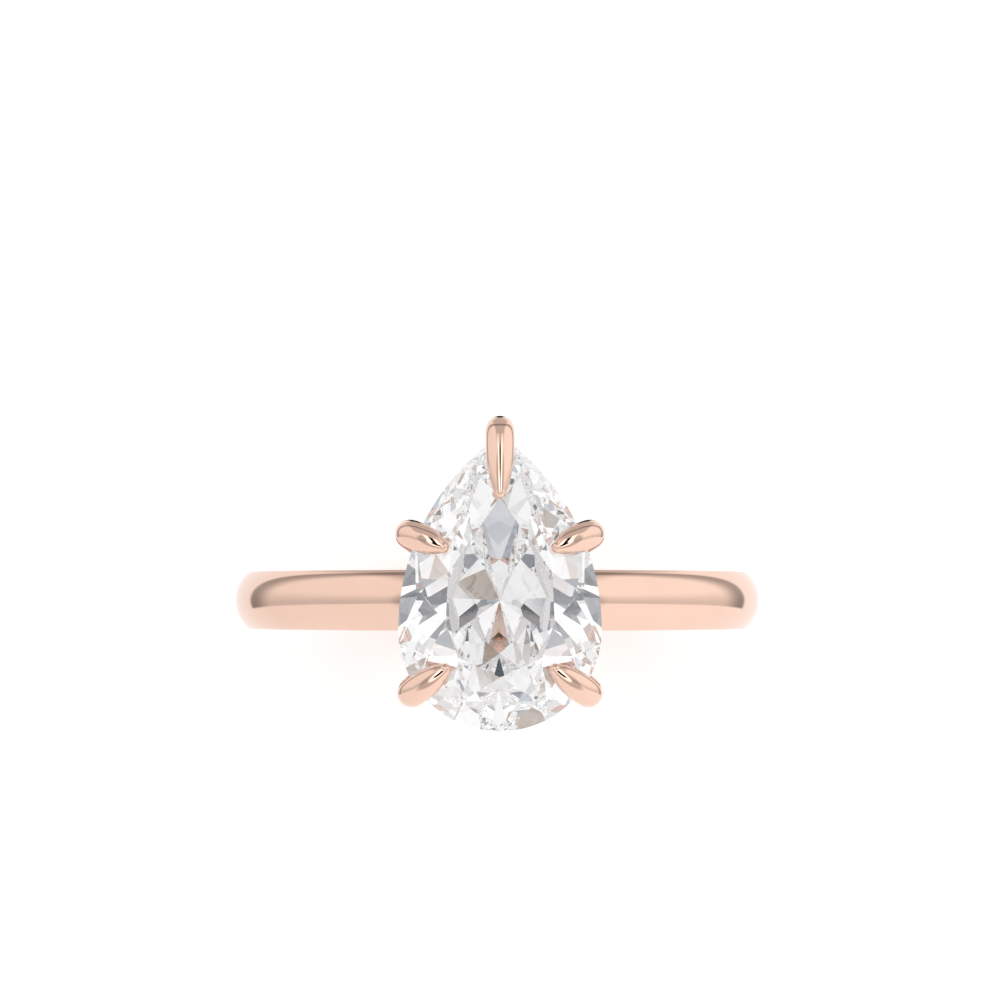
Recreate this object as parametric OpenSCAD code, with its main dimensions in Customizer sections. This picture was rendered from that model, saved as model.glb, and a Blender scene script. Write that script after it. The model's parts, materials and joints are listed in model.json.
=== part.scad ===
// Engagement ring: a pear-cut stone held by five claws over a plain domed band.
// +Z rises out of the stone's table, Y runs along the finger, and the origin is
// the centre of the finger hole. The stone's point looks towards +Y.

/* [Band] */
// Inside diameter of the band, which is a US size 6.5
finger_d = 16.9; // [14:0.1:22]
// Thickness of the band at the top of its dome
band_t = 1.75; // [1.4:0.05:2.6]
// Width of the band along the finger
band_w = 2.2; // [1.6:0.1:4]
// Height of the dome above the band's side walls
dome_rise = 0.5; // [0.2:0.05:0.7]
// Chamfer along the band's two inner edges
inner_chamfer = 0.15; // [0.05:0.05:0.3]

/* [Stone] */
// Width of the stone across its round end
stone_w = 7; // [5:0.1:9]
// Length of the stone from its round end to its point
stone_l = 10.2; // [7.5:0.1:13]
// Height of the crown, from the girdle to the table
crown_h = 1.05; // [0.7:0.05:1.6]
// Thickness of the girdle at the facet corners
girdle_t = 0.25; // [0.22:0.01:0.5]
// Depth of the pavilion, from the girdle to the culet
pavilion_h = 2.7; // [2:0.05:4]
// Distance from the stone's widest line to its culet, towards the point
culet_y = 1; // [0:0.1:1.6]
// Drop of the star facets, as a share of the crown's height
star_drop = 0.45; // [0.15:0.05:0.6]
// Reach of the lower half facets towards the culet, as a share of the pavilion
half_reach = 0.5; // [0.3:0.02:0.84]

/* [Claws] */
// Radius of a claw at its knee, beside the girdle
knee_r = 0.5; // [0.3:0.02:0.7]
// Radius of a claw's rounded end, on the crown
end_r = 0.26; // [0.16:0.02:0.35]
// Radius of a claw at its foot
foot_r = 0.42; // [0.25:0.01:0.6]
// Distance from the girdle out to the knee's centre
knee_out = 0.42; // [0.2:0.02:0.6]
// Height of the knee's centre above the top of the girdle
knee_up = 0.12; // [0:0.02:0.4]
// Height of the claw end's centre above the crown
end_up = 0.12; // [0.04:0.02:0.2]
// How far the claw at the point lies over the crown
point_reach = 2.25; // [1:0.05:3]
// How far the two upper claws lie over the crown
upper_reach = 1.2; // [0.6:0.05:1.6]
// How far the two lower claws lie over the crown
lower_reach = 1.4; // [0.6:0.05:1.8]
// Turn of the upper claws along the wing arcs, from the widest line
upper_turn = 23; // [12:1:32]
// Turn of the lower claws round the round end, from the widest line
lower_turn = 36; // [25:1:55]

/* [Rails] */
// Gap between the band and the culet
culet_gap = 1.25; // [0.8:0.05:2]
// Spread of the claws' feet, as a share of their spread at the knees
foot_share = 0.5; // [0.4:0.01:0.65]
// How far the lower rail is let down over the band
rail_sink = 0.25; // [0.1:0.05:0.5]
// Height of the lower rail
lower_rail_h = 0.9; // [0.5:0.05:1.2]
// Height of the upper rail
upper_rail_h = 0.7; // [0.4:0.05:1]
// Wall of both rails
rail_t = 0.7; // [0.4:0.05:1]
// Depth of the upper rail's top face below the girdle
upper_rail_drop = 1.6; // [1.2:0.05:2.2]

/* [Hidden] */
$fn = 96;
gold = [0.93, 0.68, 0.56];
diamond = [0.9, 0.93, 0.95, 0.6];

// Band
finger_r = finger_d / 2;
band_r = finger_r + band_t;
dome_r = (pow(band_w / 2, 2) + pow(dome_rise, 2)) / (2 * dome_rise);

// Plan of the stone: a half circle, and two wing arcs that meet at the point
half_w = stone_w / 2;
widest_y = -culet_y;
end_y = widest_y - half_w;
point_y = end_y + stone_l;
wing_r = (pow(point_y - widest_y, 2) + pow(half_w, 2)) / stone_w;
wing_x = half_w - wing_r;

// Levels above the centre of the finger hole
culet_z = band_r + culet_gap;
girdle_z = culet_z + pavilion_h;
girdle_top = girdle_z + girdle_t;
table_z = girdle_top + crown_h;
foot_z = band_r - rail_sink;
knee_z = girdle_top + knee_up;
upper_rail_top = girdle_z - upper_rail_drop;
upper_rail_z = upper_rail_top - upper_rail_h;

// Radius of a rod where it meets a ball, as a share of the ball's
rod_share = 0.92;
// Larger than anything that is cut
reach = 3 * (stone_l + stone_w);

// ---- Plan of the stone ----

function wing_dir(a) = [cos(a), sin(a)];
function wing_at(a) = [wing_x, widest_y] + wing_r * wing_dir(a);
function round_at(a) = [0, widest_y] + half_w * wing_dir(a);
function flip(p) = [-p.x, p.y];

// A corner of the table, from its shares of the stone's half width and ends
function table_at(u, v) = [u * half_w, v > 0 ? v * point_y : -v * end_y];

// Main facets, going clockwise from the point: place on the
// girdle, direction that they face, and corner of the table
side_turn = -8;
right_mains = [
    [wing_at(upper_turn), wing_dir(upper_turn), table_at(0.506, 0.167)],
    [round_at(side_turn), wing_dir(side_turn), table_at(0.53, -0.167)],
    [round_at(-lower_turn), wing_dir(-lower_turn), table_at(0.41, -0.433)]
];
mains = concat(
    [[[0, point_y], [0, 1], table_at(0, 0.615)]],
    right_mains,
    [[[0, end_y], [0, -1], table_at(0, -0.582)]],
    [for (i = [2:-1:0]) [for (p = right_mains[i]) flip(p)]]
);
main_count = len(mains);

// Turns of the girdle's places along the wing arc and round the round end: the
// main facets' places, and those half way between one main facet and the next
point_turn = atan2(point_y - widest_y, -wing_x);
wing_turns = [point_turn, (point_turn + upper_turn) / 2, upper_turn,
    (upper_turn + side_turn) / 2, 0];
round_turns = [0, side_turn, (side_turn - lower_turn) / 2, -lower_turn,
    -(lower_turn + 90) / 2, -90];
right_halves = [wing_at(wing_turns[1]), wing_at(wing_turns[3]),
    round_at(round_turns[2]), round_at(round_turns[4])];
halves = concat(right_halves, [for (i = [3:-1:0]) flip(right_halves[i])]);

// The girdle is polished in small flats, a few from each place to the next
girdle_flats = 4;
function flats(turns) = [for (i = [0:len(turns) - 2], k = [0:girdle_flats - 1])
    turns[i] + (turns[i + 1] - turns[i]) * k / girdle_flats];
right_girdle = concat(
    [for (a = flats(wing_turns)) wing_at(a)],
    [for (a = flats(round_turns)) round_at(a)],
    [round_at(-90)]
);
girdle_outline = concat(right_girdle,
    [for (i = [len(right_girdle) - 2:-1:1]) flip(right_girdle[i])]);

function next(i) = (i + 1) % main_count;
function before(i) = (i + main_count - 1) % main_count;
function lift(p, z) = [p.x, p.y, z];

// Where two lines on the plan cross, each given by a point and its facing
function cross_at(p, n, q, m) =
    let (a = n * p, b = m * q, d = n.x * m.y - n.y * m.x)
    [(a * m.y - b * n.y) / d, (b * n.x - a * m.x) / d];

// Where two mains meet, between two levels with given points on the plan
function meet(one, other, low, low_z, high, high_z, share) =
    let (a = lift(cross_at(low[0], one[1], low[1], other[1]), low_z),
        b = lift(cross_at(high[0], one[1], high[1], other[1]), high_z))
    a + share * (b - a);

stars = [for (i = [0:main_count - 1])
    let (one = mains[i], other = mains[next(i)])
    meet(one, other, [one[0], other[0]], girdle_top, [one[2], other[2]], table_z, 1 - star_drop)];
deep_meets = [for (i = [0:main_count - 1])
    let (one = mains[i], other = mains[next(i)])
    meet(one, other, [one[0], other[0]], girdle_z, [[0, 0], [0, 0]], culet_z, half_reach)];

// The crown's facets: mains, stars and two halves each side of a girdle place
crown_facets = [for (i = [0:main_count - 1])
    let (table_here = lift(mains[i][2], table_z),
        table_there = lift(mains[next(i)][2], table_z),
        here = lift(mains[i][0], girdle_top),
        there = lift(mains[next(i)][0], girdle_top),
        between = lift(halves[i], girdle_top))
    each [
        [table_here, stars[before(i)], stars[i]],
        [table_here, table_there, stars[i]],
        [stars[i], here, between],
        [stars[i], between, there]
    ]];

// The pavilion's facets: mains, and two halves each side of a girdle place
pavilion_facets = [for (i = [0:main_count - 1])
    let (here = lift(mains[i][0], girdle_z),
        there = lift(mains[next(i)][0], girdle_z),
        between = lift(halves[i], girdle_z))
    each [
        [[0, 0, culet_z], deep_meets[before(i)], deep_meets[i]],
        [deep_meets[i], here, between],
        [deep_meets[i], between, there]
    ]];
facets = concat(crown_facets, pavilion_facets);

// ---- Shapes that are used more than once ----

// The stone's outline, made smaller by a share and then by an inset: the two
// wing arcs close at both ends, and the half circle trims their lower end
module pear(share = 1, inset = 0) {
    round_at = [0, share * widest_y];
    wing_at = [share * wing_x, share * widest_y];
    difference() {
        intersection() {
            translate(wing_at) circle(share * wing_r - inset);
            translate(flip(wing_at)) circle(share * wing_r - inset);
        }
        difference() {
            translate([-stone_w, round_at.y - stone_l]) square([2 * stone_w, stone_l]);
            translate(round_at) circle(share * half_w - inset);
        }
    }
}

// A block that covers the side of the plane at p that n points to
module beyond(p, n) {
    turn = [0, acos(n.z / norm(n)), atan2(n.y, n.x)];
    translate(p) rotate(turn) translate([-reach / 2, -reach / 2, 0]) cube(reach);
}

// A block that ends at the facet through three points, on the stone's side
module behind_facet(points) {
    n = cross(points[1] - points[0], points[2] - points[0]);
    middle = [0, 0, (girdle_z + girdle_top) / 2];
    beyond(points[0], n * (middle - points[0]) > 0 ? n : -n);
}

module rod(p, q, r1, r2) {
    d = q - p;
    turn = [0, acos(d.z / norm(d)), atan2(d.y, d.x)];
    translate(p) rotate(turn) cylinder(h = norm(d), r1 = r1, r2 = r2);
}

module band_shape() {
    rotate([90, 0, 0]) rotate_extrude() intersection() {
        translate([band_r - dome_r, 0]) circle(dome_r);
        polygon([
            [finger_r, -band_w / 2 + inner_chamfer],
            [finger_r + inner_chamfer, -band_w / 2],
            [band_r, -band_w / 2],
            [band_r, band_w / 2],
            [finger_r + inner_chamfer, band_w / 2],
            [finger_r, band_w / 2 - inner_chamfer]
        ]);
    }
}

// ---- Claws ----

// Share of their full spread that the claws have at a level
function spread(z) = foot_share + (1 - foot_share) * (z - foot_z) / (knee_z - foot_z);
function knee(i) = mains[i][0] + knee_out * mains[i][1];

// The straight part of claw i, from its foot up to its knee
module claw_stem(i) {
    below = foot_z - foot_r;
    foot = lift(spread(below) * knee(i), below);
    rod(foot, lift(knee(i), knee_z), foot_r, rod_share * knee_r);
}

// A claw on main facet i, with its seat for the girdle, trimmed at the foot
module claw(i, over) {
    seat = mains[i][0];
    faces = mains[i][1];
    table = mains[i][2];
    slope = crown_h / (faces * (seat - table));
    knee_at = lift(knee(i), knee_z);
    end_at = lift(seat - (over - end_r) * faces, girdle_top + (over - end_r) * slope + end_up);
    culet_slope = pavilion_h / (faces * seat);
    difference() {
        union() {
            claw_stem(i);
            translate(knee_at) sphere(knee_r);
            rod(knee_at, end_at, rod_share * knee_r, rod_share * end_r);
            translate(end_at) sphere(end_r);
        }
        difference() {
            beyond(lift(seat, 0), -lift(faces, 0));
            beyond(lift(seat, girdle_top), [slope * faces.x, slope * faces.y, 1]);
            beyond(lift(seat, girdle_z), [culet_slope * faces.x, culet_slope * faces.y, -1]);
        }
        translate([-reach / 2, -reach / 2, foot_z - reach]) cube(reach);
        band_shape();
    }
}

// ---- Rails ----

// A rail's outline at a level, between its outer wall and its inner wall
module rail(z, h) {
    share = spread(z + h / 2);
    translate([0, 0, z]) linear_extrude(h) difference() {
        pear(share);
        pear(share, rail_t);
    }
}

module all_stems() {
    for (i = [0, 1, 3, 5, 7]) claw_stem(i);
}

// ---- The pieces ----

module shank() {
    color(gold) band_shape();
}

module lower_rail() {
    color(gold) difference() {
        rail(foot_z, lower_rail_h);
        all_stems();
        band_shape();
    }
}

module upper_rail() {
    color(gold) difference() {
        rail(upper_rail_z, upper_rail_h);
        all_stems();
    }
}

module claw_point() {
    color(gold) claw(0, point_reach);
}

module claw_upper_right() {
    color(gold) claw(1, upper_reach);
}

module claw_lower_right() {
    color(gold) claw(3, lower_reach);
}

module claw_lower_left() {
    color(gold) mirror([1, 0, 0]) claw(3, lower_reach);
}

module claw_upper_left() {
    color(gold) mirror([1, 0, 0]) claw(1, upper_reach);
}

module stone() {
    color(diamond) intersection() {
        translate([0, 0, culet_z]) linear_extrude(table_z - culet_z) polygon(girdle_outline);
        intersection_for(points = facets) behind_facet(points);
    }
}

shank();
lower_rail();
upper_rail();
claw_point();
claw_upper_left();
claw_upper_right();
claw_lower_left();
claw_lower_right();
stone();
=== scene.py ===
import json
import math

import bpy
import bmesh
from mathutils import Matrix, Vector


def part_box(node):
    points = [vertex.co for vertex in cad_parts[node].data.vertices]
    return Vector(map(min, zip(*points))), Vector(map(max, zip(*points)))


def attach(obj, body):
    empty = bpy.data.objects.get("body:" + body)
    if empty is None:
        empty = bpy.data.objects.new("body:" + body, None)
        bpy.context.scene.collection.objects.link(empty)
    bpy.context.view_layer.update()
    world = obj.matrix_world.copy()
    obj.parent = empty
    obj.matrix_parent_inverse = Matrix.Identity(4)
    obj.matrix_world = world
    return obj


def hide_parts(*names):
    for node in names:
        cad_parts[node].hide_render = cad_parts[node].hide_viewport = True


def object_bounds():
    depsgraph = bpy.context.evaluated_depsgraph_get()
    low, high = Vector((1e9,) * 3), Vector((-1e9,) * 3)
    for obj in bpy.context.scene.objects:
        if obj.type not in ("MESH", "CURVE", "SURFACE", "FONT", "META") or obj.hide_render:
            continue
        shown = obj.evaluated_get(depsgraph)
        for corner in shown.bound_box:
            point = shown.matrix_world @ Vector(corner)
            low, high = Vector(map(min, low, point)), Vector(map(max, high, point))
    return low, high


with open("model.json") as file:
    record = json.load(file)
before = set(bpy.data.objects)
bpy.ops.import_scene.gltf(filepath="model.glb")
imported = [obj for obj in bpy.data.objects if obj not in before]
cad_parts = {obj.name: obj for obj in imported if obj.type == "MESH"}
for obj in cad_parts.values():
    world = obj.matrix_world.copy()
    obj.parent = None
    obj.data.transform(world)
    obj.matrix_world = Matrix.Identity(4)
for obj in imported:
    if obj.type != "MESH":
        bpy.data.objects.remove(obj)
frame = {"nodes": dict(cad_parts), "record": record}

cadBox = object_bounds()
scene = bpy.context.scene
mm = 0.001  # pieces are shaped in millimetres and become metres at the end


# Helpers for meshes

def boxInMm(node):
    low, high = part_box(node)
    return low / mm, high / mm


def addPiece(name, mesh, material, slotName, *replaced):
    # the mesh is in millimetres and the object stays at the origin
    mesh.transform(Matrix.Scale(mm, 4))
    mesh.name = name
    mesh.materials.clear()
    mesh.materials.append(material)
    piece = bpy.data.objects.new(name, mesh)
    scene.collection.objects.link(piece)
    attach(piece, "root")
    if replaced:
        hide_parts(*replaced)
    print("made", name, len(mesh.polygons), "faces")
    return piece


def bakeModifiers(holder):
    # the evaluated shape as a plain mesh; the holder goes away
    graph = bpy.context.evaluated_depsgraph_get()
    mesh = bpy.data.meshes.new_from_object(holder.evaluated_get(graph))
    bpy.data.objects.remove(holder)
    return mesh


def smoothByAngle(mesh, degrees):
    work = bmesh.new()
    work.from_mesh(mesh)
    bmesh.ops.remove_doubles(work, verts=work.verts, dist=1e-5)
    bmesh.ops.recalc_face_normals(work, faces=work.faces)
    for face in work.faces:
        face.smooth = True
    limit = math.radians(degrees)
    for edge in work.edges:
        edge.smooth = edge.is_manifold and edge.calc_face_angle(0) < limit
    work.to_mesh(mesh)
    work.free()


# Shader maths: a wrapped socket that adds Math nodes when it is used in an expression

class Wire:
    def __init__(self, tree, socket):
        self.tree = tree
        self.socket = socket

    def math(self, operation, *values):
        return node(self.tree, "ShaderNodeMath", {"operation": operation}, values)

    def __add__(self, other):
        return self.math("ADD", self, other)

    def __radd__(self, other):
        return self.math("ADD", other, self)

    def __sub__(self, other):
        return self.math("SUBTRACT", self, other)

    def __rsub__(self, other):
        return self.math("SUBTRACT", other, self)

    def __mul__(self, other):
        return self.math("MULTIPLY", self, other)

    def __rmul__(self, other):
        return self.math("MULTIPLY", other, self)

    def __pow__(self, other):
        return self.math("POWER", self, other)


def node(tree, kind, settings=None, values=(), output=0):
    # any node: its type, its settings, then values or wires for its inputs, by place or by name
    made = tree.nodes.new(kind)
    for key, value in (settings or {}).items():
        setattr(made, key, value)
    pairs = values.items() if isinstance(values, dict) else enumerate(values)
    for key, value in pairs:
        if isinstance(value, Wire):
            tree.links.new(value.socket, made.inputs[key])
        elif value is not None:
            made.inputs[key].default_value = value
    return Wire(tree, made.outputs[output])


def step(wire, low, high, toLow=0.0, toHigh=1.0):
    # a soft step from toLow to toHigh as the wire goes from low to high
    return node(wire.tree, "ShaderNodeMapRange", {"interpolation_type": "SMOOTHSTEP"},
                (wire, low, high, toLow, toHigh))


def mixColour(factor, first, second, blend="MIX"):
    return node(factor.tree, "ShaderNodeMix", {"data_type": "RGBA", "blend_type": blend},
                {0: factor, 6: first, 7: second}, output=2)


def newMaterial(name):
    material = bpy.data.materials.new(name)
    material.use_nodes = True
    tree = material.node_tree
    tree.nodes.clear()
    shader = tree.nodes.new("ShaderNodeBsdfPrincipled")
    result = tree.nodes.new("ShaderNodeOutputMaterial")
    tree.links.new(shader.outputs[0], result.inputs[0])
    return material, tree, shader


def feed(tree, shader, **wires):
    # each wire goes to the socket of its name, with an underscore for the space
    for key, wire in wires.items():
        tree.links.new(wire.socket, shader.inputs[key.replace("_", " ")])


# Rose gold

roseGold = {
    "colour": (0.91, 0.64, 0.52, 1.0),
    "deepColour": (0.86, 0.56, 0.44, 1.0),
    "roughness": 0.045,
    "wearRoughness": 0.035,
    "strokeRoughness": 0.02,
    "strokeBump": 0.02,
    "strokeDepth": 0.00002,    # in metres
    "strokeScale": 900.0,
    "wearScale": 420.0,
    "wearRange": (0.35, 0.75),
    "wearTint": 0.25,
}


def makeRoseGold(name, strokeStretch):
    look = roseGold
    material, tree, shader = newMaterial(name)
    shader.inputs["Metallic"].default_value = 1.0
    place = node(tree, "ShaderNodeTexCoord", output=3)
    stretched = node(tree, "ShaderNodeMapping", {}, {0: place, 3: strokeStretch})
    clouds = node(tree, "ShaderNodeTexNoise", {}, {0: place, "Scale": look["wearScale"], "Detail": 3.0})
    strokes = node(tree, "ShaderNodeTexNoise", {},
                   {0: stretched, "Scale": look["strokeScale"], "Detail": 4.0})
    wear = step(clouds, *look["wearRange"])
    roughness = look["roughness"] + wear * look["wearRoughness"] + strokes * look["strokeRoughness"]
    colour = mixColour(wear * look["wearTint"], look["colour"], look["deepColour"])
    bump = node(tree, "ShaderNodeBump", {},
                {"Strength": look["strokeBump"], "Distance": look["strokeDepth"], "Height": strokes})
    feed(tree, shader, Base_Color=colour, Roughness=roughness, Normal=bump)
    return material


bandGold = makeRoseGold("rose_gold_band", (0.12, 6.0, 0.12))
clawGold = makeRoseGold("rose_gold_claws", (3.0, 3.0, 0.3))
railGold = makeRoseGold("rose_gold_rails", (0.3, 0.3, 5.0))
print("rose gold ready")


# Diamond

diamond = {
    "ior": 2.417,
    "colour": (0.985, 0.988, 1.0, 1.0),
    "girdleColour": (0.86, 0.87, 0.9, 1.0),
    "girdleTint": 0.6,
    "grainTint": 0.4,
    "girdleRoughness": 0.35,
    "grainRoughness": 0.1,
    "girdleUpright": (0.2, 0.04),  # how far the surface leans before it counts as girdle
    "grainScale": 9000.0,
    "mergeDistance": 0.003,
    "flatAngle": 0.15,        # in degrees
}


def makeDiamond():
    look = diamond
    material, tree, shader = newMaterial("diamond")
    shader.inputs["Transmission Weight"].default_value = 1.0
    shader.inputs["IOR"].default_value = look["ior"]
    facing = node(tree, "ShaderNodeNewGeometry", output=1)
    split = node(tree, "ShaderNodeSeparateXYZ", {}, (facing,), output=2)
    upright = node(tree, "ShaderNodeMath", {"operation": "ABSOLUTE"}, (split,))
    girdle = step(upright, *look["girdleUpright"])
    place = node(tree, "ShaderNodeTexCoord", output=3)
    grain = node(tree, "ShaderNodeTexNoise", {}, {0: place, "Scale": look["grainScale"], "Detail": 2.0})
    tint = girdle * (look["girdleTint"] + look["grainTint"] * grain)
    colour = mixColour(tint, look["colour"], look["girdleColour"])
    roughness = girdle * (look["girdleRoughness"] + look["grainRoughness"] * grain)
    feed(tree, shader, Base_Color=colour, Roughness=roughness)
    return material


def cleanStone():
    # the CAD's stone in millimetres, closed, with one flat face for each facet
    look = diamond
    work = bmesh.new()
    for vertex in frame["nodes"]["stone"].data.vertices:
        work.verts.new(vertex.co / mm)
    bmesh.ops.remove_doubles(work, verts=work.verts, dist=look["mergeDistance"])
    bmesh.ops.convex_hull(work, input=work.verts)
    loose = [vertex for vertex in work.verts if not vertex.link_faces]
    bmesh.ops.delete(work, geom=loose, context="VERTS")
    flat = math.radians(look["flatAngle"])
    bmesh.ops.dissolve_limit(work, angle_limit=flat, verts=work.verts, edges=work.edges)
    bmesh.ops.recalc_face_normals(work, faces=work.faces)
    mesh = bpy.data.meshes.new("cleanStone")
    work.to_mesh(mesh)
    work.free()
    return mesh


addPiece("pear_diamond", cleanStone(), makeDiamond(), "diamond", "stone")


# Band: a rounded half-round section swept round the finger hole by Geometry Nodes

band = {
    "domeRise": 0.5,
    "edgeRadius": 0.14,       # where the dome meets the side walls
    "innerRadius": 0.22,      # comfort edge inside
    "segments": 512,
    "filletPoints": 9,
    "domePoints": 49,
    "creaseAngle": 60,        # in degrees
}


def arcPoints(centre, radius, start, end, count):
    angles = [start + (end - start) * i / (count - 1) for i in range(count)]
    return [(centre[0] + radius * math.cos(a), centre[1] + radius * math.sin(a)) for a in angles]


def bandSection(fingerRadius, bandRadius, width):
    # points as (distance from the hole's axis, place along it), from one inner edge to the other
    half = width / 2
    rise, edge, inner = band["domeRise"], band["edgeRadius"], band["innerRadius"]
    domeRadius = (half ** 2 + rise ** 2) / (2 * rise)
    domeCentre = bandRadius - domeRadius
    # the edge fillet touches the side wall and the dome
    filletY = half - edge
    filletX = domeCentre + math.sqrt((domeRadius - edge) ** 2 - filletY ** 2)
    touch = math.atan2(filletY, filletX - domeCentre)
    upper = arcPoints((fingerRadius + inner, half - inner), inner, math.pi, math.pi / 2,
                      band["filletPoints"])
    upper += arcPoints((filletX, filletY), edge, math.pi / 2, touch, band["filletPoints"])
    dome = arcPoints((domeCentre, 0), domeRadius, touch, -touch, band["domePoints"])
    lower = [(x, -y) for x, y in reversed(upper)]
    return upper + dome[1:-1] + lower


def sweepTree():
    # the section that comes in is swept round a circle
    tree = bpy.data.node_groups.new("sweepRound", "GeometryNodeTree")
    face = tree.interface
    face.new_socket("Section", in_out="INPUT", socket_type="NodeSocketGeometry")
    face.new_socket("Circle Radius", in_out="INPUT", socket_type="NodeSocketFloat")
    face.new_socket("Segments", in_out="INPUT", socket_type="NodeSocketInt")
    face.new_socket("Material", in_out="INPUT", socket_type="NodeSocketMaterial")
    face.new_socket("Mesh", in_out="OUTPUT", socket_type="NodeSocketGeometry")
    start = tree.nodes.new("NodeGroupInput")
    circle = tree.nodes.new("GeometryNodeCurvePrimitiveCircle")
    sweep = tree.nodes.new("GeometryNodeCurveToMesh")
    smooth = tree.nodes.new("GeometryNodeSetShadeSmooth")
    real = tree.nodes.new("GeometryNodeRealizeInstances")
    paint = tree.nodes.new("GeometryNodeSetMaterial")
    end = tree.nodes.new("NodeGroupOutput")
    link = tree.links.new
    link(start.outputs["Circle Radius"], circle.inputs["Radius"])
    link(start.outputs["Segments"], circle.inputs["Resolution"])
    link(circle.outputs["Curve"], sweep.inputs["Curve"])
    link(start.outputs["Section"], sweep.inputs["Profile Curve"])
    link(sweep.outputs["Mesh"], smooth.inputs[0])
    link(smooth.outputs[0], real.inputs[0])
    link(real.outputs[0], paint.inputs["Geometry"])
    link(start.outputs["Material"], paint.inputs["Material"])
    link(paint.outputs[0], end.inputs[0])
    return tree


def setInputs(modifier, **values):
    # inputs are set by the socket's identifier
    for item in modifier.node_group.interface.items_tree:
        key = item.name.replace(" ", "")
        if item.in_out == "INPUT" and key in values:
            modifier[item.identifier] = values[key]


def closedCurve(name, points):
    curve = bpy.data.curves.new(name, "CURVE")
    curve.dimensions = "3D"
    spline = curve.splines.new("POLY")
    spline.points.add(len(points) - 1)
    for point, place in zip(spline.points, points):
        point.co = (*place, 1.0)
    spline.use_cyclic_u = True
    holder = bpy.data.objects.new(name, curve)
    scene.collection.objects.link(holder)
    return holder


def makeBand():
    low, high = boxInMm("shank")
    fingerRadius = frame["record"]["mounts"][0]["dims"]["r_mm"]
    bandRadius = high.x
    section = bandSection(fingerRadius, bandRadius, high.y - low.y)
    # the sweep's circle runs through the hole's wall, and the section is drawn outwards from it
    holder = closedCurve("bandSection", [(x - fingerRadius, y, 0.0) for x, y in section])
    modifier = holder.modifiers.new("sweep", "NODES")
    modifier.node_group = sweepTree()
    setInputs(modifier, CircleRadius=fingerRadius, Segments=band["segments"], Material=bandGold)
    mesh = bakeModifiers(holder)
    mesh.transform(Matrix.Rotation(math.radians(90), 4, "X"))
    # the hoop keeps within the CAD's box, which is a few microns less tall than wide
    mesh.transform(Matrix.Scale(-low.z / high.x, 4, (0, 0, 1)))
    smoothByAngle(mesh, band["creaseAngle"])
    addPiece("band", mesh, bandGold, "rose_gold", "shank")


makeBand()


# The stone's plan, which the rails and the claws follow

stoneLow, stoneHigh = boxInMm("stone")
plan = {
    "halfWidth": stoneHigh.x,
    "point": stoneHigh.y,
    "end": stoneLow.y,
}
plan["widest"] = plan["end"] + plan["halfWidth"]
plan["rise"] = plan["point"] - plan["widest"]
plan["wingRadius"] = (plan["rise"] ** 2 + plan["halfWidth"] ** 2) / (2 * plan["halfWidth"])
plan["wingCentre"] = plan["halfWidth"] - plan["wingRadius"]

levels = {"crown": 1.05, "girdle": 0.25}
levels["table"] = stoneHigh.z
levels["girdleTop"] = stoneHigh.z - levels["crown"]
levels["girdleLow"] = levels["girdleTop"] - levels["girdle"]


def pearOutline(share, inset, count):
    # right wing from the point down, the round end, then the left wing
    widest = share * plan["widest"]
    wingRadius = share * plan["wingRadius"] - inset
    wingCentre = share * plan["wingCentre"]
    top = math.acos(-wingCentre / wingRadius)
    right = arcPoints((wingCentre, widest), wingRadius, top, 0, count)
    low = arcPoints((0, widest), share * plan["halfWidth"] - inset, 0, -math.pi, count)
    left = [(-x, y) for x, y in reversed(right)]
    return right + low[1:] + left[1:-1]


# Rails: a rounded strip swept along the stone's plan

rails = {
    "wall": 0.7,
    "corner": 0.2,
    "footSpread": 0.5,
    "cornerSteps": 5,
    "steps": 64,
    "creaseAngle": 50,
}
clawSizes = {
    "kneeOut": 0.42,
    "kneeUp": 0.12,
    "kneeRadius": 0.5,
    "footRadius": 0.42,
    "bend": 0.5,              # radius of the bend at the knee
    "sides": 40,
    "stemRings": 26,
    "bendRings": 12,
    "headRings": 34,
    "capRings": 9,
    "capLength": 0.9,         # of the end's radius
    "endBack": 0.2,           # the rounded end starts this far short of the reach
    "endUp": 0.12,
    "taper": 0.58,            # share of the radius that is lost at the end
    "taperPower": 2.4,
    "seatGrowth": 1.003,
    "creaseAngle": 40,
}
kneeLevel = levels["girdleTop"] + clawSizes["kneeUp"]
footLevel = boxInMm("lower_rail")[0].z


def spreadAt(level):
    share = rails["footSpread"]
    return share + (1 - share) * (level - footLevel) / (kneeLevel - footLevel)


def makeRail(name, cadNode):
    low, high = boxInMm(cadNode)
    share = spreadAt((low.z + high.z) / 2)
    wall, corner = rails["wall"], rails["corner"]
    # each ring of the mesh is the outline at one place round the strip's section
    inside, outside = corner, wall - corner
    corners = ((inside, high.z - corner, 180), (outside, high.z - corner, 90),
               (outside, low.z + corner, 0), (inside, low.z + corner, -90))
    places = []
    for cornerX, cornerZ, start in corners:
        for i in range(rails["cornerSteps"] + 1):
            turn = math.radians(start - 90 * i / rails["cornerSteps"])
            places.append((cornerX + corner * math.cos(turn), cornerZ + corner * math.sin(turn)))
    rings = [[(x, y, z) for x, y in pearOutline(share, inset, rails["steps"])] for inset, z in places]
    mesh = meshFromRings(rings, closedAcross=True)
    smoothByAngle(mesh, rails["creaseAngle"])
    addPiece(name, mesh, railGold, "rose_gold", cadNode)


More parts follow.
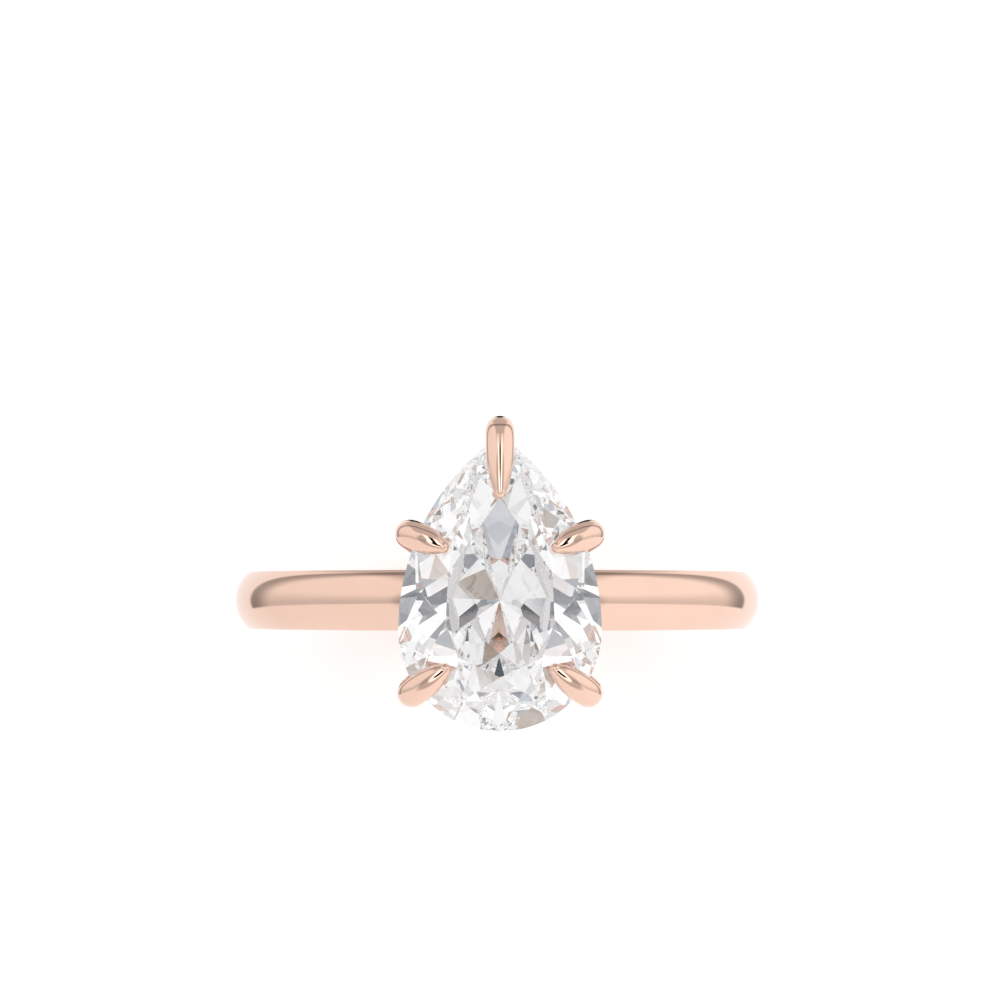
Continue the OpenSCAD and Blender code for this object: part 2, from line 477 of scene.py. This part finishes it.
def meshFromRings(rings, closedAcross=False):
    # rings of equal length, each closed; either a closed tube or a shape with capped ends
    work = bmesh.new()
    grid = [[work.verts.new(p) for p in ring] for ring in rings]
    count = len(rings[0])
    last = len(rings) if closedAcross else len(rings) - 1
    for i in range(last):
        here, there = grid[i], grid[(i + 1) % len(rings)]
        for k in range(count):
            work.faces.new((here[k], here[(k + 1) % count], there[(k + 1) % count], there[k]))
    if not closedAcross:
        work.faces.new(list(reversed(grid[0])))
        work.faces.new(grid[-1])
    bmesh.ops.recalc_face_normals(work, faces=work.faces)
    mesh = bpy.data.meshes.new("rings")
    work.to_mesh(mesh)
    work.free()
    return mesh


makeRail("upper_gallery_rail", "upper_rail")
makeRail("lower_gallery_rail", "lower_rail")


# Claws: a tapered wire from the lower rail, bent at the girdle and laid over the crown

# wing and round are angles in degrees, and reach is how far the claw comes in from the girdle, in mm;
# table is the table's corner behind the claw, as shares of the stone's half width and of its ends
clawPlaces = {
    "claw_point": {"reach": 2.25, "table": (0.0, 0.615)},
    "claw_upper_right": {"wing": 23, "reach": 1.2, "table": (0.506, 0.167), "flip": 1},
    "claw_upper_left": {"wing": 23, "reach": 1.2, "table": (0.506, 0.167), "flip": -1},
    "claw_lower_right": {"round": -36, "reach": 1.4, "table": (0.41, -0.433), "flip": 1},
    "claw_lower_left": {"round": -36, "reach": 1.4, "table": (0.41, -0.433), "flip": -1},
}


def clawSeat(place):
    # where the claw crosses the girdle, the way it faces, and the crown's slope under it
    u, v = place["table"]
    table = Vector((u * plan["halfWidth"], v * plan["point"] if v > 0 else -v * plan["end"]))
    if "wing" in place:
        turn = math.radians(place["wing"])
        facing = Vector((math.cos(turn), math.sin(turn)))
        seat = Vector((plan["wingCentre"], plan["widest"])) + plan["wingRadius"] * facing
    elif "round" in place:
        turn = math.radians(place["round"])
        facing = Vector((math.cos(turn), math.sin(turn)))
        seat = Vector((0, plan["widest"])) + plan["halfWidth"] * facing
    else:
        facing = Vector((0, 1))
        seat = Vector((0, plan["point"]))
    slope = levels["crown"] / facing.dot(seat - table)
    side = place.get("flip", 1)
    return Vector((seat.x * side, seat.y)), Vector((facing.x * side, facing.y)), slope


def clawPath(place):
    # stations along the claw as (centre, radius)
    sizes = clawSizes
    seat, facing, slope = clawSeat(place)
    plane = seat + sizes["kneeOut"] * facing
    knee = Vector((plane.x, plane.y, kneeLevel))
    footPlan = spreadAt(footLevel) * plane
    foot = Vector((footPlan.x, footPlan.y, footLevel))
    # the wire starts below the foot, where it is trimmed flat
    foot -= sizes["footRadius"] * (knee - foot).normalized()
    reach = place["reach"] - sizes["endBack"]
    tipPlan = seat - reach * facing
    tip = Vector((tipPlan.x, tipPlan.y, levels["girdleTop"] + reach * slope + sizes["endUp"]))
    up = (knee - foot).normalized()
    inward = (tip - knee).normalized()
    half = math.acos(up.dot(inward)) / 2
    trim = sizes["bend"] * math.tan(half)
    start, end = knee - trim * up, knee + trim * inward
    stations = []
    for i in range(sizes["stemRings"]):
        t = i / sizes["stemRings"]
        radius = sizes["footRadius"] + (sizes["kneeRadius"] - sizes["footRadius"]) * t
        stations.append((foot.lerp(start, t), radius))
    centre = start + sizes["bend"] * (inward - up * up.dot(inward)).normalized()
    arm = (start - centre).normalized()
    for i in range(sizes["bendRings"]):
        turn = 2 * half * i / sizes["bendRings"]
        middle = centre + sizes["bend"] * (arm * math.cos(turn) + up * math.sin(turn))
        stations.append((middle, sizes["kneeRadius"]))
    for i in range(sizes["headRings"] + 1):
        t = i / sizes["headRings"]
        radius = sizes["kneeRadius"] * (1 - sizes["taper"] * t ** sizes["taperPower"])
        stations.append((end.lerp(tip, t), radius))
    return stations, inward, facing


def trimBelow(mesh, level):
    # a flat foot, closed again
    work = bmesh.new()
    work.from_mesh(mesh)
    parts = work.verts[:] + work.edges[:] + work.faces[:]
    cut = bmesh.ops.bisect_plane(work, geom=parts, plane_co=(0, 0, level), plane_no=(0, 0, 1),
                                 clear_inner=True)
    rim = [part for part in cut["geom_cut"] if isinstance(part, bmesh.types.BMEdge)]
    bmesh.ops.edgeloop_fill(work, edges=rim)
    bmesh.ops.recalc_face_normals(work, faces=work.faces)
    work.to_mesh(mesh)
    work.free()


def makeClaw(name, place):
    sizes = clawSizes
    stations, inward, facing = clawPath(place)
    across = Vector((facing.y, -facing.x, 0)).normalized()
    rings = []
    count = len(stations)
    for i, (centre, radius) in enumerate(stations):
        ahead = stations[min(i + 1, count - 1)][0] - stations[max(i - 1, 0)][0]
        ahead.normalize()
        other = across.cross(ahead).normalized()
        turns = [2 * math.pi * k / sizes["sides"] for k in range(sizes["sides"])]
        rings.append([centre + radius * (math.cos(t) * across + math.sin(t) * other) for t in turns])
    # rounded end
    centre, radius = stations[-1]
    ahead = inward
    other = across.cross(ahead).normalized()
    for i in range(1, sizes["capRings"]):
        tilt = math.pi / 2 * i / sizes["capRings"]
        ring = radius * math.cos(tilt)
        middle = centre + ahead * radius * math.sin(tilt) * sizes["capLength"]
        rings.append([middle + ring * (math.cos(t) * across + math.sin(t) * other) for t in turns])
    mesh = meshFromRings(rings)
    trimBelow(mesh, footLevel)
    holder = bpy.data.objects.new(name + "_blank", mesh)
    scene.collection.objects.link(holder)
    cut = holder.modifiers.new("seat", "BOOLEAN")
    cut.operation = "DIFFERENCE"
    cut.solver = "EXACT"
    cut.object = stoneCutter
    mesh = bakeModifiers(holder)
    smoothByAngle(mesh, sizes["creaseAngle"])
    piece = addPiece(name + "_wire", mesh, clawGold, "rose_gold", name)
    # the stone's facets show the rails and the band, and leave out the claws
    piece.visible_transmission = False


def makeStoneCutter():
    # a copy of the stone, a hair larger, that cuts the seats
    mesh = cleanStone()
    middleZ = (levels["girdleTop"] + levels["girdleLow"]) / 2
    middle = Vector((0, (plan["point"] + plan["end"]) / 2, middleZ))
    grow = Matrix.Scale(clawSizes["seatGrowth"], 4)
    mesh.transform(Matrix.Translation(middle) @ grow @ Matrix.Translation(-middle))
    holder = bpy.data.objects.new("stoneCutter", mesh)
    scene.collection.objects.link(holder)
    return holder


stoneCutter = makeStoneCutter()
for clawName, clawPlace in clawPlaces.items():
    makeClaw(clawName, clawPlace)
bpy.data.objects.remove(stoneCutter)


# Studio: a white floor under the band, white all round, and a soft lamp

floorSheet = {
    "size": 0.6,
    "fibreScale": 800.0,
    "shade": (0.93, 0.925, 0.92, 1.0),
    "pale": (0.97, 0.965, 0.96, 1.0),
    "roughness": 0.9,
    "glow": (1.0, 0.99, 0.985, 1.0),
    "glowStrength": 0.26,
}


def makeFloor():
    look = floorSheet
    level = cadBox[0].z
    half = look["size"] / 2
    corners = [(-half, -half, level), (half, -half, level), (half, half, level), (-half, half, level)]
    mesh = bpy.data.meshes.new("floor")
    mesh.from_pydata(corners, [], [(0, 1, 2, 3)])
    floor = bpy.data.objects.new("floor", mesh)
    scene.collection.objects.link(floor)
    material, tree, shader = newMaterial("paper_floor")
    place = node(tree, "ShaderNodeTexCoord", output=3)
    fibres = node(tree, "ShaderNodeTexNoise", {}, {0: place, "Scale": look["fibreScale"], "Detail": 4.0})
    colour = mixColour(fibres, look["shade"], look["pale"])
    feed(tree, shader, Base_Color=colour)
    shader.inputs["Roughness"].default_value = look["roughness"]
    shader.inputs["Emission Color"].default_value = look["glow"]
    shader.inputs["Emission Strength"].default_value = look["glowStrength"]
    mesh.materials.append(material)
    floor.visible_glossy = False
    floor.visible_transmission = False


# every pair is where a soft step starts and ends, and x, y and z are those of the direction looked in
studioLight = {
    "boxDepth": 0.755,              # the soft box's lower edge straight to the side
    "boxCurve": 0.75,               # and how much higher it is towards the point
    "boxCurvePower": 4.0,
    "boxSide": (-0.17, -0.13),
    "boxEdge": (0.0, 0.05),
    "edgeShade": (0.08, 0.34, 0.42, 1.0),
    "seamShade": (0.3, -0.1, 1.0, 0.70),
    "lensAngle": (0.17, 0.23),      # the dark lens straight above, in radians from upright
    "stoneLensAngle": (0.42, 0.46),
    "ringAngle": (0.46, 0.36),      # the bright ring round it ends here
    "ringLight": 0.9,
    "ceilingAngle": (0.86, 0.70),   # and a dimmer ceiling here
    "ceilingDim": 0.42,
    "nearStart": (0.08, 0.15),      # the joint between the left and right panels
    "nearEnd": (0.76, 0.62),
    "jointHalfWidth": (0.13, 0.09),
    "flankHalfWidth": (0.36, 0.28),  # and the brighter strips beside it
    "flankLevel": (0.0, 0.2),
    "flankLight": 1.0,
    "farStart": (0.60, 0.76),       # the far end wall, a little dim
    "farHalfWidth": (0.58, 0.42),
    "farDim": 0.42,
    "leftGain": 1.04,
    "rightGain": 0.07,              # the right is a little brighter
    "shadeDepth": (2.0, 4.0),       # bounces
    "shadeLight": 0.5,
    "whiteLight": (1.0, 0.99, 0.985, 1.0),
    "stoneLens": (0.09, 0.105, 0.13, 1.0),
    "stoneDim": (0.44, 0.48, 0.55, 1.0),
    "stoneWarm": (0.40, 0.31, 0.24, 1.0),
    "stoneBright": (1.03, 1.025, 1.02, 1.0),
    "patchScale": 2.2,
    "patchRange": (0.37, 0.47),
    "tintScale": 1.6,
    "tintSeed": 3.0,
    "tintRange": (0.44, 0.54),
}


def metalLight(x, y, z, fromTop):
    # how bright the studio is in a direction, as the gold reflects it
    look = studioLight
    tree = x.tree
    # a hair over 1, so that the root is never taken of a negative number
    flat = node(tree, "ShaderNodeMath", {"operation": "SQRT"}, (1.0001 - y * y,))
    # the soft box: everything on the point's side of the ring, down to a curved lower edge
    lowerEdge = -look["boxDepth"] * flat * (1 - look["boxCurve"] * y ** look["boxCurvePower"])
    above = z - lowerEdge
    inBox = step(y, *look["boxSide"]) * step(above, *look["boxEdge"])
    boxLight = step(above, *look["edgeShade"]) * step(y, *look["seamShade"])
    # the lens looks down the middle, with a bright ring round it and a joint between two panels
    lens = step(fromTop, *look["lensAngle"])
    ring = step(fromTop, *look["ringAngle"], 0.0, look["ringLight"])
    ceiling = 1 - step(fromTop, *look["ceilingAngle"], 0.0, look["ceilingDim"])
    sideways = node(tree, "ShaderNodeMath", {"operation": "ABSOLUTE"}, (x,))
    near = step(y, *look["nearStart"]) * step(y, *look["nearEnd"])
    joint = 1 - near * step(sideways, *look["jointHalfWidth"])
    beside = step(sideways, *look["flankHalfWidth"], 0.0, look["flankLight"])
    flanks = near * step(z, *look["flankLevel"]) * beside
    farWall = 1 - step(y, *look["farStart"]) * step(sideways, *look["farHalfWidth"], 0.0, look["farDim"])
    light = (((1 - inBox) + inBox * boxLight) * ceiling * farWall + ring + flanks) * lens * joint
    return light * (look["leftGain"] + look["rightGain"] * x)


def makeWorld():
    look = studioLight
    world = bpy.data.worlds.new("studio")
    scene.world = world
    world.use_nodes = True
    tree = world.node_tree
    tree.nodes.clear()
    way = node(tree, "ShaderNodeTexCoord", output=0)
    parts = tree.nodes.new("ShaderNodeSeparateXYZ")
    tree.links.new(way.socket, parts.inputs[0])
    x, y, z = (Wire(tree, parts.outputs[i]) for i in range(3))
    fromTop = node(tree, "ShaderNodeMath", {"operation": "ARCCOSINE"}, (z,))
    path = tree.nodes.new("ShaderNodeLightPath")
    # gold that shows inside the stone lies in its shade, so it gathers less light
    shade = step(Wire(tree, path.outputs["Ray Depth"]), *look["shadeDepth"], 1.0, look["shadeLight"])
    strength = metalLight(x, y, z, fromTop) * shade
    metalView = node(tree, "ShaderNodeBackground", {}, {0: look["whiteLight"], 1: strength})
    # what the stone gathers: pale panels of uneven brightness round a blue-grey lens
    patches = node(tree, "ShaderNodeTexNoise", {}, {0: way, "Scale": look["patchScale"], "Detail": 1.0})
    tints = node(tree, "ShaderNodeTexNoise", {"noise_dimensions": "4D"},
                 {0: way, "W": look["tintSeed"], "Scale": look["tintScale"], "Detail": 0.0})
    dim = mixColour(step(tints, *look["tintRange"]), look["stoneDim"], look["stoneWarm"])
    pale = mixColour(step(patches, *look["patchRange"]), dim, look["stoneBright"])
    gathered = mixColour(step(fromTop, *look["stoneLensAngle"]), look["stoneLens"], pale)
    stoneView = node(tree, "ShaderNodeBackground", {}, {0: gathered, 1: 1.0})
    # whatever looks straight past the ring sees plain white
    back = node(tree, "ShaderNodeBackground", {}, {0: (1.0, 1.0, 1.0, 1.0), 1: 1.0})
    around = node(tree, "ShaderNodeMixShader", {},
                  {0: Wire(tree, path.outputs["Is Transmission Ray"]), 1: metalView, 2: stoneView})
    both = node(tree, "ShaderNodeMixShader", {},
                {0: Wire(tree, path.outputs["Is Camera Ray"]), 1: around, 2: back})
    result = tree.nodes.new("ShaderNodeOutputWorld")
    tree.links.new(both.socket, result.inputs[0])


softLamp = {
    "size": 0.35,
    "energy": 0.06,
    "place": (0.0, 0.16, 0.2),
}


def makeLamp():
    lamp = bpy.data.lights.new("softLamp", "AREA")
    lamp.shape = "DISK"
    lamp.size = softLamp["size"]
    lamp.energy = softLamp["energy"]
    holder = bpy.data.objects.new("softLamp", lamp)
    holder.location = softLamp["place"]
    holder.rotation_euler = (-Vector(softLamp["place"])).to_track_quat("-Z", "Y").to_euler()
    holder.visible_glossy = False
    scene.collection.objects.link(holder)


view = {
    "eyeHeight": 0.103,       # above the stone's table
    "eyeSide": -0.0008,
    "aimAlong": 0.00345,      # towards the stone's point
    "lens": 108.9,
    "sensor": 36.0,
    "nearClip": 0.001,
    "farClip": 10.0,
}


def makeCamera():
    lens = bpy.data.cameras.new("camera")
    lens.lens = view["lens"]
    lens.sensor_width = view["sensor"]
    lens.clip_start = view["nearClip"]
    lens.clip_end = view["farClip"]
    camera = bpy.data.objects.new("camera", lens)
    scene.collection.objects.link(camera)
    eye = Vector((view["eyeSide"], 0.0, levels["table"] * mm + view["eyeHeight"]))
    aim = Vector((0.0, view["aimAlong"], levels["girdleTop"] * mm))
    # the picture's upright edge follows the stone's length
    back = (eye - aim).normalized()
    across = Vector((0, 1, 0)).cross(back).normalized()
    upright = back.cross(across)
    turn = Matrix((across, upright, back)).transposed().to_4x4()
    camera.matrix_world = Matrix.Translation(eye) @ turn
    scene.camera = camera


makeFloor()
makeWorld()
makeLamp()
makeCamera()
scene.view_settings.view_transform = "Standard"
# the stone's inner reflections count as glossy bounces, and it goes dark when they run out
scene.cycles.max_bounces = 64
scene.cycles.transmission_bounces = 64
scene.cycles.glossy_bounces = 48
scene.cycles.blur_glossy = 0.0
scene.cycles.sample_clamp_indirect = 0.0
print("studio ready")
